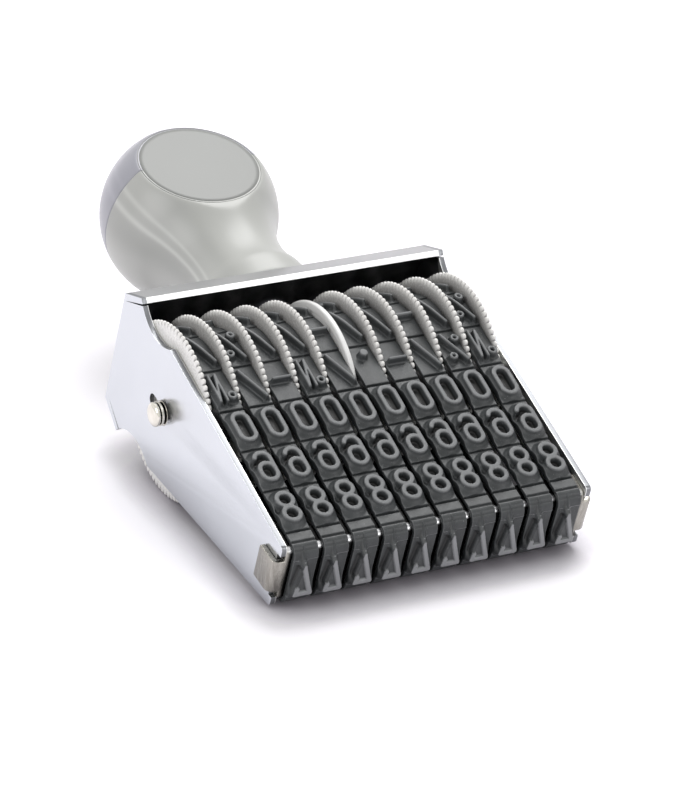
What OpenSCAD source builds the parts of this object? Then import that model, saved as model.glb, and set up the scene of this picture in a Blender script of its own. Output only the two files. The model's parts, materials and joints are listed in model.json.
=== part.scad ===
// Hand numbering stamp with ten turnable rubber bands, lying on its back.
// Every sub-part is drawn upright, with the printing face down at the foot,
// the axle along X and the knob on top. lay_down() then lays it on the bench.

/* [Bands] */
// Distance from one band to the next along the axle
pitch = 5.5; // [5.3:0.1:6.5]
// Width of one rubber band
band_w = 4.5; // [4.2:0.05:4.7]
// Rubber between the drum and the top of a pad
pad_t = 0.9; // [0.7:0.05:1.2]
// Height of a character above its pad
glyph_relief = 1.2; // [0.8:0.05:1.4]
// Height of a character
glyph_h = 6.4; // [5:0.1:7.2]
// Width of a character
glyph_w = 3.45; // [3:0.05:4]
// Width of a figure's stroke
stroke = 0.75; // [0.6:0.05:1]
// Width of a sign's stroke
sign_stroke = 0.45; // [0.3:0.05:0.6]
// Length of one pad along the band
pad_pitch = 8.7; // [8.4:0.05:8.9]
// Length of the pad under the bed
face_len = 7.3; // [7:0.1:7.8]
// Width of the groove between two pads
groove_w = 0.35; // [0.2:0.05:0.5]
// Depth of the groove between two pads
groove_depth = 0.5; // [0.3:0.05:0.6]
// Length of ribbed band between a bend and the first pad of the slope
rib_run = 2.25; // [2:0.05:3]

/* [Wheels] */
// Diameter of a setting wheel over its teeth
wheel_d = 31; // [30:0.25:32]
// Thickness of a wheel's toothed rim
rim_t = 0.65; // [0.5:0.05:0.75]
// Number of teeth round the rim
tooth_count = 84; // [60:4:96]
// Depth of a tooth
tooth_depth = 0.6; // [0.4:0.05:0.75]
// Diameter of the drum that carries the band
drum_d = 23.1; // [21:0.1:24]
// Wall of the drum and its web
drum_wall = 1.8; // [1.2:0.1:2.5]
// Wall of the hub round the axle
hub_wall = 1.6; // [1:0.1:2.5]
// How far the smooth disc between the two banks stays inside the wheels
divider_inset = 0.3; // [0.1:0.05:0.8]

/* [Axle] */
// Diameter of the axle pin
axle_d = 4.2; // [3.6:0.1:4.6]
// Length of the pin's end outside the side plate
axle_stand = 2.2; // [1.8:0.1:3]
// Width of the groove turned into each end
axle_groove_w = 0.45; // [0.3:0.05:0.5]
// Diameter left in the groove
axle_groove_d = 3.3; // [2.6:0.1:3.4]
// Distance from the side plate to the groove
axle_groove_off = 0.55; // [0.3:0.05:0.6]
// Height of the dome at each end
dome_h = 0.8; // [0.3:0.05:0.8]
// Width of the keyhole's slot above the axle
key_w = 2.4; // [1.8:0.1:3]
// Distance from the axle to the end of the slot
key_reach = 4.6; // [3.6:0.1:6]

/* [Bracket] */
// Thickness of the sheet metal
sheet_t = 1.0; // [0.8:0.05:1.2]
// Height of the axle above the foot of the side plates
axle_h = 42.6; // [41:0.2:44]
// Gap between the wheels and the head of the screw above them
head_room = 0.6; // [0.3:0.1:1.5]
// Depth of the side plate at its foot
foot_depth = 12.3; // [11.5:0.1:13]
// Depth of the side plate at its shoulder
shoulder_depth = 28.4; // [27.5:0.1:29.5]
// Depth of the flat top
top_depth = 22.4; // [21:0.1:23.5]
// Height that the front and back lips slope down
lip_drop = 5.4; // [4:0.1:6.4]
// Radius of the finger notches below the shoulders
notch_r = 8.6; // [7:0.1:9.5]
// Depth of the finger notches
notch_depth = 2.4; // [1.5:0.1:3]
// Distance from the shoulder down to the middle of the notch
notch_down = 6.8; // [6:0.1:8]
// Width of the recess in the foot that the bed hooks into
recess_w = 8.6; // [7.4:0.1:9.4]
// Radius of the foot's corners
foot_r = 0.8; // [0.4:0.1:1.2]
// Width of the slit between a side plate and the lips
lip_gap = 0.3; // [0.2:0.05:0.5]

/* [Printing bed] */
// Depth of the bed under the bands
bed_depth = 10.4; // [9.8:0.1:10.8]
// Radius of the bed's long edges
bed_r = 1.2; // [1.05:0.05:1.6]
// Thickness of the bed's strip
bed_t = 1.0; // [0.7:0.05:1]
// Height of the bed's walls
bed_h = 4.4; // [3:0.1:6]
// Width of the hooks at the bed's ends
hook_w = 6.3; // [5:0.1:6.6]
// Height of the hooks
hook_h = 4.9; // [3.5:0.1:6.5]
// Outer radius of the hook's bend
hook_r = 1.3; // [1.05:0.05:1.6]

/* [Knob] */
// Diameter of the ball
ball_d = 31.8; // [30:0.1:33]
// Height of the ball's middle above the top plate
ball_rise = 30.9; // [30:0.1:32.5]
// Diameter of the neck
neck_d = 19.4; // [18:0.1:20]
// Radius of the hollow curve between the base and the ball
neck_r = 14; // [13:0.25:15]
// Diameter of the knob's base
base_d = 22; // [21:0.1:22.3]
// Wall of the knob
knob_wall = 1.8; // [1.2:0.1:2.4]
// Height of the joint with the cap above the ball's middle
cap_joint = 0.8; // [0.4:0.1:1.2]
// Depth of the cap's collar inside the body
collar_h = 2.4; // [1.5:0.1:3]
// Distance from the ball's middle to the flat on its front
flat_off = 11.5; // [10.5:0.1:13]
// Diameter of the label plate on the flat
label_d = 21.3; // [14:0.1:21.4]
// Thickness of the label plate
label_t = 0.8; // [0.5:0.1:1.2]

/* [Handle screw] */
// Diameter of the screw's shank
screw_d = 4; // [3:0.25:5]
// Length of the shank above the top plate
screw_reach = 15; // [10:0.5:18]
// Diameter of the screw's flat head
screw_head_d = 10; // [8:0.2:11.6]
// Height of the screw's head
screw_head_h = 1.4; // [1:0.1:1.6]
// Length of each slot of the cross in the head
slot_len = 4; // [3:0.25:6]
// Width of the slots
slot_w = 0.8; // [0.5:0.1:1.2]
// Bevel on the end of the shank
screw_bevel = 1; // [0.4:0.1:1.2]
// Wall of the boss that takes the screw
boss_wall = 2.3; // [1.5:0.1:2.6]

/* [Clearances] */
// Radial running clearance of the wheels on the axle
run_clear = 0.05; // [0.02:0.01:0.1]
// Gap between two wheels on the axle
wheel_gap = 0.1; // [0.06:0.02:0.2]
// Gap between the outer wheels and the side plates
side_gap = 0.25; // [0.15:0.05:0.5]
// Gap between a drum and its band
drum_gap = 0.3; // [0.2:0.05:0.5]
// Gap between parts that are seated on each other
seat_gap = 0.05; // [0.02:0.01:0.1]
// Gap between the screw's end and the bottom of its bore
tip_gap = 0.5; // [0.2:0.1:1]

/* [Hidden] */
$fn = 64;
bank = 5;                 // bands on each side of the divider
// The three signs on each band, after its nought
signs = ["N/%", "/%-", "-/%", "N/%", "/-%", "./%", "-/%", "/-%", "%/-", "N%/"];
over = 1;                 // how far a cutting shape runs past its work
lap = 0.003;              // how far a round corner stands past the straight it meets
curve_steps = 14;         // short cones that make up a curve of the knob
ball_r = ball_d / 2;
wheel_r = wheel_d / 2;
axle_r = axle_d / 2;
base_r = base_d / 2;

// Heights above the axle
bracket_h = axle_h + wheel_r + head_room + screw_head_h + sheet_t;
ball_h = bracket_h + ball_rise;

// Widths along the axle
inner_half = bank * pitch + rim_t / 2 + side_gap;
outer_half = inner_half + sheet_t;

// The band's path runs round the bed and the drum. Its side view has four
// round corners: the drum above and the two bed edges below.
corner_y = bed_depth / 2 - bed_r;
loop_r = drum_d / 2 + drum_gap - seat_gap;
glyph_k = pad_t + glyph_relief;
root_k = pad_t / 4;       // where characters near the drum start
corner_dist = norm([corner_y, axle_h - bed_r]);
lean = asin((loop_r - bed_r) / corner_dist) - atan2(corner_y, axle_h - bed_r);
bend_len = bed_r * (90 - lean) * PI / 180;
slope_len = sqrt(corner_dist * corner_dist - pow(loop_r - bed_r, 2));
slope_start = corner_y + bend_len;
slope_end = slope_start + slope_len;
half_path = slope_end + loop_r * (90 + lean) * PI / 180;

// Pads along the path, counted from the middle of the printing face
face_pad = face_len / 2;
first_edge = slope_start + rib_run;
rib_edges = [for (i = [1, 2]) face_pad + (first_edge - face_pad) * i / 3];

// The stamp lies on its wheels and on the lower end of the first characters
// of its back slope. That sets the angle it lies at.
rest_s = first_edge + (pad_pitch - glyph_h) / 2;
rest_y = path_y(rest_s) + glyph_k * cos(lean);
rest_z = path_z(rest_s) - glyph_k * sin(lean);
rest_dist = norm([rest_y, axle_h - rest_z]);
lay_a = asin(wheel_r / rest_dist) - atan2(rest_y, axle_h - rest_z);
far_end = (ball_h - axle_h) * cos(lay_a) + ball_r;
near_end = (axle_h + glyph_k) * cos(lay_a) + glyph_h / 2 * sin(lay_a);
axle_y = (near_end - far_end) / 2;

// Side plate
shoulder_z = bracket_h - lip_drop;
notch_z = shoulder_z - notch_down;
notch_y = edge_y(notch_z) - notch_depth + notch_r;

// Knob
neck_y = neck_d / 2 + neck_r;
neck_z = ball_h - sqrt(pow(ball_r + neck_r, 2) - neck_y * neck_y);
touch = ball_r / (ball_r + neck_r);
touch_y = neck_y * touch;
touch_z = ball_h + (neck_z - ball_h) * touch;
base_top = neck_z - sqrt(neck_r * neck_r - pow(neck_y - base_r, 2));
joint_z = ball_h + cap_joint;
inner_r = ball_r - knob_wall;
flat_floor = flat_off - label_t - seat_gap - knob_wall;
boss_r = screw_d / 2 + boss_wall;

// Half depth of the side plate at a height, along its straight edges
function edge_y(z) = foot_depth / 2 + (shoulder_depth - foot_depth) / 2 * z / shoulder_z;

// Side view of the path: position for a distance s from the face's middle.
// The back half is the mirror image of the front half.
function path_y(s) =
    s < corner_y ? s
    : s < slope_start ? corner_y + bed_r * sin(path_turn(s))
    : s < slope_end ? corner_y + bed_r * cos(lean) + (s - slope_start) * sin(lean)
    : loop_r * sin(path_turn(s));
function path_z(s) =
    s < corner_y ? 0
    : s < slope_start ? bed_r - bed_r * cos(path_turn(s))
    : s < slope_end ? bed_r - bed_r * sin(lean) + (s - slope_start) * cos(lean)
    : axle_h - loop_r * cos(path_turn(s));
function path_turn(s) =
    s < corner_y ? 0
    : s < slope_start ? (s - corner_y) / bed_r * 180 / PI
    : s < slope_end ? 90 - lean
    : 90 - lean + (s - slope_end) / loop_r * 180 / PI;

// Lay the upright stamp down on its wheels, its middle over the origin
module lay_down() {
    translate([0, axle_y, wheel_r])
        rotate([lay_a - 90, 0, 0])
            translate([0, 0, -axle_h])
                children();
}

// Put a flat shape, drawn in Y and Z, along X
module across(width) {
    rotate([90, 0, 90])
        translate([0, 0, -width / 2])
            linear_extrude(width)
                children();
}

// Place children on the path at s, their Z outwards. Positive s is the front.
module on_path(s) {
    side = s < 0 ? 1 : -1;
    turn = path_turn(abs(s));
    translate([0, side * path_y(abs(s)), path_z(abs(s))])
        rotate([180 + side * turn, 0, 0])
            children();
}

// Side view of the closed loop, k outside the bed and the drum
module loop_view(k) {
    low = [for (s = [-1, 1]) [s * (corner_y + (bed_r + k) * cos(lean)),
                              bed_r - (bed_r + k) * sin(lean)]];
    high = [for (s = [-1, 1]) [s * (loop_r + k) * cos(lean),
                               axle_h - (loop_r + k) * sin(lean)]];
    translate([0, axle_h])
        circle(loop_r + k + lap);
    for (s = [-1, 1])
        translate([s * corner_y, bed_r])
            circle(bed_r + k + lap);
    polygon([[-corner_y, -k], [corner_y, -k], low[1], high[1], high[0], low[0]]);
}

// A straight stroke between two points
module bar(a, b, width = stroke) {
    run = b - a;
    translate(a)
        rotate(atan2(run[1], run[0]))
            translate([0, -width / 2])
                square([norm(run), width]);
}

// A ring, and the part of a ring between two angles
module ring(r) {
    difference() {
        circle(r);
        circle(r - stroke);
    }
}
module arc(r, from, to) {
    reach = 2 * r;
    intersection() {
        ring(r);
        polygon(concat([[0, 0]],
            [for (i = [0:4]) let (a = from + (to - from) * i / 4)
                reach * [cos(a), sin(a)]]));
    }
}

// Characters, upright as they print, centred on the origin
module glyph(c) {
    hw = glyph_w / 2;
    hh = glyph_h / 2;
    mid = hw - stroke / 2;
    low = hh - hw;
    step = hh / 4;
    edge = hw - sign_stroke / 2;
    slash = [edge, hh - sign_stroke];
    if (c == "0") {
        for (s = [-1, 1]) {
            translate([0, s * low])
                arc(hw, s > 0 ? 0 : 180, s > 0 ? 180 : 360);
            bar([s * mid, -low], [s * mid, low]);
        }
    }
    if (c == "1") {
        bar([hw / 4, -hh], [hw / 4, hh]);
        bar([-hw / 2, hh - 2 * step], [hw / 4, hh - stroke / 2]);
    }
    if (c == "2") {
        translate([0, low])
            arc(hw, -30, 180);
        bar([mid * cos(30), low - step], [-mid, -hh + stroke / 2]);
        bar([-hw, -hh + stroke / 2], [hw, -hh + stroke / 2]);
    }
    if (c == "3") {
        for (s = [-1, 1])
            translate([0, s * low])
                arc(hw, s > 0 ? -90 : -150, s > 0 ? 150 : 90);
    }
    if (c == "4") {
        bar([hw / 2, -hh], [hw / 2, hh]);
        bar([-hw, -step], [hw, -step]);
        bar([-hw + stroke / 3, -step], [hw / 2, hh - stroke / 2]);
    }
    if (c == "5") {
        translate([0, -low])
            arc(hw, -150, 150);
        bar([-mid, -step / 4], [-mid, hh]);
        bar([-hw, hh - stroke / 2], [hw, hh - stroke / 2]);
    }
    if (c == "6") glyph_nine(-1);
    if (c == "7") {
        bar([-hw, hh - stroke / 2], [hw, hh - stroke / 2]);
        bar([mid, hh - stroke / 2], [-hw / 3, -hh]);
        bar([-mid, hh], [-mid, hh - 2 * step]);
    }
    if (c == "8") {
        for (s = [-1, 1])
            translate([0, s * low])
                ring(hw);
    }
    if (c == "9") glyph_nine(1);
    if (c == "/") bar(-slash, slash, sign_stroke);
    if (c == "-") bar([-edge, 0], [edge, 0], sign_stroke);
    if (c == ".") {
        translate([0, -hh + step])
            circle(stroke);
    }
    if (c == "N") {
        for (x = [-edge, -hw / 4])
            bar([x, -hh + step / 2], [x, hh], sign_stroke);
        bar([-hw / 4, -hh + step / 2], [-edge, hh], sign_stroke);
        translate([hw / 2, hh - step])
            small_ring();
    }
    if (c == "%") {
        bar(-slash, slash, sign_stroke);
        for (s = [-1, 1])
            translate([-s * hw / 2, s * (hh - step)])
                small_ring();
    }
}

// Small ring in a sign
module small_ring() {
    r = glyph_w / 4;
    difference() {
        circle(r);
        circle(r - sign_stroke);
    }
}

// Nine and six are one shape turned by half a turn
module glyph_nine(up) {
    hw = glyph_w / 2;
    low = glyph_h / 2 - hw;
    translate([0, up * low])
        ring(hw);
    bar([up * (hw - stroke / 2), up * low], [up * (hw - stroke / 2), -up * low]);
    translate([0, -up * low])
        rotate(up > 0 ? 0 : 180)
            arc(hw, -160, 0);
}

// One raised character at s; near the drum its top follows the drum
module raised(c, s) {
    curved = abs(s) + glyph_h / 2 > slope_end;
    intersection() {
        on_path(s)
            translate([0, 0, curved ? root_k : pad_t - seat_gap])
                linear_extrude(curved ? glyph_k : glyph_relief + seat_gap)
                    mirror([0, 1])
                        glyph(c);
        if (curved)
            across(band_w)
                loop_view(glyph_k);
        else
            on_path(s)
                translate([-pitch, -pad_pitch, 0])
                    cube([2 * pitch, 2 * pad_pitch, 2 * glyph_k]);
    }
}

// One rubber band: a closed loop with a pad for every character
module band(i) {
    front = ["8", "9", "0", signs[i - 1][0], signs[i - 1][1], signs[i - 1][2]];
    back = ["6", "5", "4", "3", "2", "1"];
    x = (i - bank - 0.5) * pitch;
    edges = concat([face_pad], rib_edges,
        [for (n = [0:len(front)]) first_edge + n * pad_pitch]);
    color([0.27, 0.28, 0.28])
        lay_down()
            translate([x, 0, 0]) {
                difference() {
                    across(band_w)
                        loop_view(pad_t);
                    across(band_w + 2 * over)
                        loop_view(seat_gap);
                    for (side = [-1, 1], s = edges)
                        on_path(side * s)
                            translate([-pitch, -groove_w / 2, pad_t - groove_depth])
                                cube([2 * pitch, groove_w, groove_depth + over]);
                }
                raised("7", 0);
                for (n = [0:len(front) - 1]) {
                    s = first_edge + (n + 0.5) * pad_pitch;
                    raised(front[n], s);
                    raised(back[n], -s);
                }
                raised("-", half_path);
            }
}

// Outline of a toothed rim: each tooth has two corners at its root and tip
function tooth_points() =
    [for (t = [0:tooth_count - 1], c = [[0.1, 1], [0.34, 0], [0.66, 0], [0.9, 1]])
        let (a = (t + c[0]) * 360 / tooth_count, r = wheel_r - c[1] * tooth_depth)
            r * [cos(a), sin(a)]];

// One setting wheel: toothed rim on the outer side, hollow drum, hub
module wheel(i) {
    side = i <= bank ? -1 : 1;
    step = i <= bank ? i - 1 : 2 * bank - i;
    outer = (bank - step) * pitch + rim_t / 2;
    length = pitch - wheel_gap;
    bore_r = axle_r + run_clear;
    color([0.80, 0.79, 0.77])
        lay_down()
            translate([side * outer, 0, axle_h])
                rotate([0, -side * 90, 0])
                    difference() {
                        union() {
                            linear_extrude(rim_t)
                                polygon(tooth_points());
                            cylinder(r = drum_d / 2, h = length);
                        }
                        translate([0, 0, -over])
                            cylinder(r = bore_r, h = length + 2 * over);
                        translate([0, 0, drum_wall])
                            difference() {
                                cylinder(r = drum_d / 2 - drum_wall, h = length);
                                translate([0, 0, -over])
                                    cylinder(r = bore_r + hub_wall, h = length + 2 * over);
                            }
                    }
}

// Smooth disc between the fifth and the sixth band
module centre_divider() {
    edge = rim_t / 4;
    r = wheel_r - divider_inset;
    color([0.88, 0.87, 0.85])
        lay_down()
            translate([0, 0, axle_h])
                rotate([0, 90, 0])
                    rotate_extrude()
                        polygon([[axle_r + run_clear, -rim_t / 2], [r - edge, -rim_t / 2],
                                 [r, -edge], [r, edge], [r - edge, rim_t / 2],
                                 [axle_r + run_clear, rim_t / 2]]);
}

// Axle pin: a plain rod with a turned groove and a domed end at both sides
module axle_pin() {
    tip = outer_half + axle_stand;
    dome_r = (axle_r * axle_r + dome_h * dome_h) / (2 * dome_h);
    groove = outer_half + axle_groove_off;
    color([0.80, 0.78, 0.72])
        lay_down()
            translate([0, 0, axle_h])
                rotate([0, 90, 0])
                    difference() {
                        intersection() {
                            translate([0, 0, -tip])
                                cylinder(r = axle_r, h = 2 * tip);
                            translate([0, 0, dome_r - tip])
                                rotate_extrude() domed_half(dome_r, 2 * tip);
                            translate([0, 0, tip - dome_r])
                                mirror([0, 0, 1])
                                    rotate_extrude() domed_half(dome_r, 2 * tip);
                        }
                        for (s = [-1, 1])
                            translate([0, 0, s * (groove + axle_groove_w / 2) - axle_groove_w / 2])
                                difference() {
                                    cylinder(r = axle_r + over, h = axle_groove_w);
                                    translate([0, 0, -over])
                                        cylinder(r = axle_groove_d / 2, h = axle_groove_w + 2 * over);
                                }
                    }
}

// Half outline of a long rod with a round end below the origin
module domed_half(r, reach) {
    intersection() {
        union() {
            circle(r);
            translate([-r, 0])
                square([2 * r, reach]);
        }
        translate([0, -r])
            square([r, reach + 2 * r]);
    }
}

// Outline of one side plate, upright in Y and Z
module plate_view() {
    foot = foot_depth / 2;
    difference() {
        union() {
            polygon([[-foot, foot_r], [-foot + foot_r, 0], [foot - foot_r, 0], [foot, foot_r],
                     [shoulder_depth / 2, shoulder_z], [top_depth / 2, bracket_h],
                     [-top_depth / 2, bracket_h], [-shoulder_depth / 2, shoulder_z]]);
            for (s = [-1, 1])
                translate([s * (foot - foot_r), foot_r])
                    circle(foot_r);
        }
        for (s = [-1, 1])
            translate([s * notch_y, notch_z])
                circle(notch_r);
        translate([-recess_w / 2, -over])
            square([recess_w, bed_t + seat_gap + over]);
        translate([0, axle_h])
            circle(axle_r + seat_gap);
        translate([-key_w / 2, axle_h])
            square([key_w, key_reach - key_w / 2]);
        translate([0, axle_h + key_reach - key_w / 2])
            circle(key_w / 2);
    }
}

// Outline of the top plate with its two sloping lips
module top_view() {
    top = top_depth / 2;
    run = shoulder_depth / 2 - top;
    slope = norm([run, lip_drop]);
    square_off = sheet_t * [lip_drop, run] / slope;
    for (s = [-1, 1])
        polygon([[s * top, bracket_h],
                 [s * (top + run), shoulder_z],
                 [s * (top + run) - s * square_off[0], shoulder_z - square_off[1]],
                 [s * top - s * square_off[0], bracket_h - sheet_t]]);
    translate([-top, bracket_h - sheet_t])
        square([2 * top, sheet_t]);
}

// Folded sheet-metal bracket: top plate, two lips and two side plates
module frame_bracket() {
    color([0.83, 0.84, 0.87])
        lay_down()
            difference() {
                union() {
                    across(2 * outer_half)
                        top_view();
                    for (s = [-1, 1])
                        translate([s * (inner_half + sheet_t / 2), 0, 0])
                            difference() {
                                across(sheet_t)
                                    plate_view();
                                for (e = [-1, 1])
                                    lip_relief(e);
                            }
                }
                translate([0, 0, bracket_h - sheet_t - over])
                    cylinder(r = screw_d / 2 + seat_gap, h = sheet_t + 2 * over);
            }
}

// Slit that parts a side plate from the lip that folds down in front of it
module lip_relief(side) {
    top = top_depth / 2;
    run = shoulder_depth / 2 - top;
    slope = norm([run, lip_drop]);
    inward = [-side * lip_drop, -run] / slope;
    across(sheet_t + over)
        polygon([[side * top, bracket_h] + inward * sheet_t,
                 [side * (top + run), shoulder_z] + inward * sheet_t + [side * run, -lip_drop],
                 [side * (top + run), shoulder_z] + inward * (sheet_t + lip_gap)
                 + [side * run, -lip_drop],
                 [side * top, bracket_h] + inward * (sheet_t + lip_gap)]);
}

// Printing bed: a folded strip under the bands, hooked round both plates
module printing_bed() {
    hook_x = outer_half + seat_gap + bed_t;
    start = inner_half - seat_gap;
    color([0.72, 0.69, 0.62])
        lay_down() {
            across(2 * start)
                difference() {
                    intersection() {
                        loop_view(0);
                        translate([-bed_depth, -over])
                            square([2 * bed_depth, bed_h + over]);
                    }
                    translate([0, bed_t])
                        bed_hollow();
                }
            for (s = [0, 1])
                mirror([s, 0, 0])
                    translate([0, hook_w / 2, 0])
                        rotate([90, 0, 0])
                            linear_extrude(hook_w)
                                difference() {
                                    union() {
                                        translate([start - over, 0])
                                            square([hook_x - hook_r - start + over, bed_t]);
                                        translate([hook_x - bed_t, hook_r])
                                            square([bed_t, hook_h - hook_r]);
                                        translate([hook_x - hook_r, hook_r])
                                            circle(hook_r);
                                    }
                                    translate([outer_half - sheet_t - over, bed_t])
                                        square([sheet_t + seat_gap + over, hook_h]);
                                }
        }
}

// Hollow inside the bed's walls, measured up from the bed's own floor
module bed_hollow() {
    low = corner_y + bed_r * cos(lean) - bed_t;
    rise = bed_h + over;
    polygon([[-low, 0], [low, 0],
             [low + rise * tan(lean), rise], [-low - rise * tan(lean), rise]]);
}

// Screw that holds the knob, its flat head under the top plate
module handle_screw() {
    head_z = bracket_h - sheet_t;
    edge = screw_head_h / 3;
    head_r = screw_head_d / 2;
    shank_r = screw_d / 2;
    tip_z = bracket_h + screw_reach;
    color([0.45, 0.45, 0.47])
        lay_down()
            difference() {
                rotate_extrude()
                    polygon([[0, head_z - screw_head_h],
                             [head_r - 2 * edge, head_z - screw_head_h],
                             [head_r, head_z - edge], [head_r, head_z], [shank_r, head_z],
                             [shank_r, tip_z - screw_bevel], [shank_r - screw_bevel, tip_z],
                             [0, tip_z]]);
                for (a = [0, 90])
                    translate([0, 0, head_z - screw_head_h])
                        rotate(a)
                            cube([slot_len, slot_w, screw_head_h], center = true);
            }
}

// Points of a curve after its start, from one angle to another
function curve(middle, r, from, to) =
    [for (i = [1:curve_steps]) let (a = from + (to - from) * i / curve_steps)
        middle + r * [cos(a), sin(a)]];

// Half outline of the knob's body: base, neck and ball up to the joint
function body_points() =
    concat([[0, bracket_h], [base_r, bracket_h], [base_r, base_top]],
           curve([neck_y, neck_z], neck_r, 180 + asin((neck_z - base_top) / neck_r),
                 180 - asin((touch_z - neck_z) / neck_r)),
           curve([0, ball_h], ball_r, -asin((ball_h - touch_z) / ball_r),
                 asin(cap_joint / ball_r)),
           [[0, joint_z]]);

// Half outline of the hollow in it
function hollow_points() =
    let (neck_in = neck_d / 2 - knob_wall,
         floor_z = bracket_h + knob_wall,
         start = -acos(neck_in / inner_r))
        concat([[0, floor_z], [neck_in, floor_z], [neck_in, ball_h + inner_r * sin(start)]],
               curve([0, ball_h], inner_r, start, 0),
               [[inner_r, joint_z + over], [0, joint_z + over]]);

// Children turned round the knob's axis, behind the flat on its front
module turned(front) {
    intersection() {
        rotate_extrude()
            children();
        translate([-ball_d, -front, 0])
            cube([2 * ball_d, 2 * ball_d, 2 * ball_h]);
    }
}

// Half outline of a ball above a height
module ball_above(r, low) {
    intersection() {
        translate([0, ball_h])
            circle(r);
        translate([0, low])
            square([ball_d, ball_d]);
    }
}

// Round seat for the label plate
module label_seat() {
    translate([0, -flat_off - over, ball_h])
        rotate([-90, 0, 0])
            cylinder(r = label_d / 2 + seat_gap, h = label_t + seat_gap + over);
}

// Lower part of the knob with the boss for the screw
module knob_body() {
    color([0.75, 0.76, 0.73])
        lay_down()
            difference() {
                turned(flat_off)
                    polygon(body_points());
                difference() {
                    turned(flat_floor)
                        polygon(hollow_points());
                    translate([0, 0, bracket_h])
                        cylinder(r = boss_r, h = screw_reach + boss_wall);
                }
                label_seat();
                translate([0, 0, bracket_h - over])
                    cylinder(r = screw_d / 2 + seat_gap, h = screw_reach + tip_gap + over);
            }
}

// Upper shell of the knob with the collar that fits inside the body
module knob_cap() {
    collar_r = sqrt(inner_r * inner_r - pow(collar_h, 2)) - 2 * seat_gap;
    step_r = ball_r - knob_wall / 2;
    color([0.57, 0.57, 0.61])
        lay_down() {
            difference() {
                turned(flat_off)
                    ball_above(ball_r, joint_z);
                turned(flat_floor)
                    ball_above(inner_r, joint_z - over);
                label_seat();
            }
            turned(flat_floor - seat_gap)
                polygon([[collar_r - knob_wall, joint_z - collar_h],
                         [collar_r, joint_z - collar_h], [collar_r, joint_z],
                         [step_r, joint_z], [step_r, joint_z + knob_wall / 2],
                         [collar_r - knob_wall, joint_z + knob_wall]]);
        }
}

// Bare label plate let into the flat
module label_plate() {
    edge = label_t / 4;
    r = label_d / 2;
    color([0.74, 0.75, 0.74])
        lay_down()
            translate([0, -flat_off, ball_h])
                rotate([-90, 0, 0])
                    rotate_extrude()
                        polygon([[0, 0], [r - edge, 0], [r, edge], [r, label_t], [0, label_t]]);
}

frame_bracket();
axle_pin();
printing_bed();
handle_screw();
knob_body();
knob_cap();
label_plate();
centre_divider();
wheel(1);  // wheel_01
wheel(2);  // wheel_02
wheel(3);  // wheel_03
wheel(4);  // wheel_04
wheel(5);  // wheel_05
wheel(6);  // wheel_06
wheel(7);  // wheel_07
wheel(8);  // wheel_08
wheel(9);  // wheel_09
wheel(10);  // wheel_10
band(1);  // band_01
band(2);  // band_02
band(3);  // band_03
band(4);  // band_04
band(5);  // band_05
band(6);  // band_06
band(7);  // band_07
band(8);  // band_08
band(9);  // band_09
band(10);  // band_10
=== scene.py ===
import json
import math

import bmesh
import bpy
import numpy as np
from mathutils import Matrix, Vector


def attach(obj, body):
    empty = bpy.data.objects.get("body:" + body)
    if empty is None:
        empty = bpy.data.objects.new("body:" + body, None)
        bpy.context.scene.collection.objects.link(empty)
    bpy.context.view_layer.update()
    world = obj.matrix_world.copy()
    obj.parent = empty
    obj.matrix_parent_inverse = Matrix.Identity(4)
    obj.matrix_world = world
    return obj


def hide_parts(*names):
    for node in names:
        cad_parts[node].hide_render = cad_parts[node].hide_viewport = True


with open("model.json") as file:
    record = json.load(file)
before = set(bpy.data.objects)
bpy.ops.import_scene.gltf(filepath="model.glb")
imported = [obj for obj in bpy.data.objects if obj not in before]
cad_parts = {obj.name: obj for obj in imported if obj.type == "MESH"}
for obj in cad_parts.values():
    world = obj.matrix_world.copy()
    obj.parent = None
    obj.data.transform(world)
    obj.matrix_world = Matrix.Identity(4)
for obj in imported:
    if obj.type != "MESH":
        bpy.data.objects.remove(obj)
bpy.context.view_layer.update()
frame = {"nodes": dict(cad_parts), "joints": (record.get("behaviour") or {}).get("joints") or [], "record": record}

# Sizes are millimetres in the stamp's upright frame: printing face down at height 0,
# axle along X, knob on top. layDown turns them into the lying frame, in metres.
stamp = {
    "axleHeight": 42.6,
    "bracketTop": 61.1,
    "bandCount": 10,
    "pitch": 5.5,
    "innerHalf": 28.075,    # middle to the inner face of a side plate
    "sheet": 1.0,
    "wheelRadius": 15.5,
}
faceMount = frame["record"]["mounts"][0]
layTurn = math.atan2(-faceMount["axis"][2], -faceMount["axis"][1])
axlePlace = np.array(frame["joints"][0]["pos_m"])


def layDown(points):
    # Upright to lying: a turn about X that leaves the axle on its place in the frame
    x, along, up = points[..., 0], points[..., 1], points[..., 2] - stamp["axleHeight"]
    sine, cosine = math.sin(layTurn), math.cos(layTurn)
    lying = np.stack([x, along * sine + up * cosine, up * sine - along * cosine], axis=-1)
    return lying / 1000 + axlePlace


def ease(value, low, high):
    # Smooth step: 0 below low, 1 above high, without a kink between
    share = np.clip((value - low) / (high - low), 0, 1)
    return share * share * (3 - 2 * share)


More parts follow.
